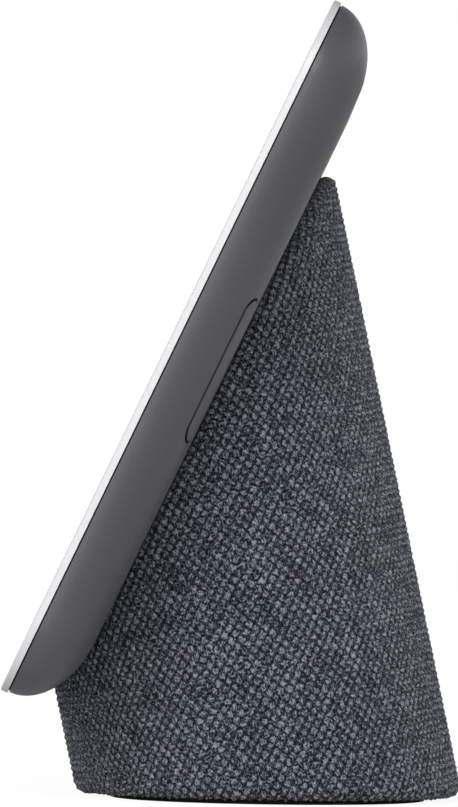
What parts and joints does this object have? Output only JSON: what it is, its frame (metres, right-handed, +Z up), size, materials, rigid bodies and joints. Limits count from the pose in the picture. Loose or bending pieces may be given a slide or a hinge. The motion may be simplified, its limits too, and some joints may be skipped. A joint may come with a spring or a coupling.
{
  "type": "smart display speaker",
  "caption": "Tabletop smart display: a flat touch screen leaning back on a fabric-covered leaning oval stand that holds the loudspeaker, with a volume rocker and microphone slide switch.",
  "frame": {"origin": "on the table, under the middle of the object's overall width and depth", "axes": "+Z up, the screen faces -Y, and the volume rocker is on the +X side"},
  "size_m": [0.1774, 0.0694, 0.1203],
  "materials": {
    "glass": "glossy cover glass, light bezel printed behind it",
    "gasket": "black rubber",
    "screen": "dark unlit screen",
    "tray": "white moulded plastic",
    "housing": "dark grey moulded plastic, fine matte texture",
    "chassis": "stamped sheet",
    "board": "printed circuit board",
    "flex": "amber film",
    "steel": "zinc plated",
    "chip": "black moulded package",
    "pad": "soft thermal pad",
    "fabric": "woven charcoal blue yarn, mottled",
    "frame": "black moulded plastic",
    "foot": "dark matte silicone rubber",
    "cone": "treated paper",
    "magnet": "ferrite",
    "copper": "bare metal",
    "inlet": "black moulded plastic",
    "lead": "black insulated wire"
  },
  "bodies": {
    "display_and_stand": {"cover_glass": "glass", "display_gasket": "gasket", "lcd_panel": "screen", "backlight_tray": "tray", "light_guide": "tray", "lcd_flex": "flex", "chassis_plate": "chassis", "chassis_screws": "steel", "rear_housing": "housing", "main_board": "board", "board_screws": "steel", "shield_cans": "chassis", "chips": "chip", "thermal_pads": "pad", "board_connectors": "chip", "wifi_antennas": "flex", "sensor_strip": "board", "light_sensor": "chip", "microphones": "steel", "microphone_boots": "gasket", "rocker_pin": "steel", "volume_domes": "chassis", "volume_switch_board": "board", "mic_switch": "chip", "mic_switch_board": "board", "neck_screws": "steel", "cable_grommet": "gasket", "fabric_cover": "fabric", "stand_frame": "frame", "base_plate": "frame", "base_screws": "steel", "foot_pad": "foot", "speaker_gasket": "gasket", "speaker_basket": "steel", "speaker_surround": "gasket", "speaker_spider": "cone", "speaker_magnet": "magnet", "speaker_yoke": "steel", "speaker_screws": "steel", "power_inlet": "inlet", "inlet_pin": "copper", "inlet_board": "board", "inlet_screws": "steel", "power_lead": "lead", "speaker_lead": "lead"},
    "rocker": {"volume_rocker": "housing"},
    "mic_slide": {"mic_slider": "housing", "mic_switch_lever": "chip"},
    "diaphragm": {"speaker_cone": "cone", "speaker_dust_cap": "cone", "voice_coil": "copper"}
  },
  "joints": [
    {"name": "volume_tilt", "type": "hinge", "parent": "display_and_stand", "child": "rocker", "pos_m": [0.0803, -0.00516, 0.06627], "axis": [0.9632, -0.2436, 0.1136], "range_deg": [-2, 2], "stiffness_Nm_per_rad": 0.3, "deforming": ["volume_domes"]},
    {"name": "mic_slide", "type": "slide", "parent": "display_and_stand", "child": "mic_slide", "axis": [1, 0, 0], "range_m": [0, 0.0024]},
    {"name": "cone_travel", "type": "slide", "parent": "display_and_stand", "child": "diaphragm", "axis": [0, 0.9763, 0.2164], "range_m": [-0.0015, 0.0015], "stiffness_N_per_m": 1200, "deforming": ["speaker_surround", "speaker_spider"]}
  ]
}
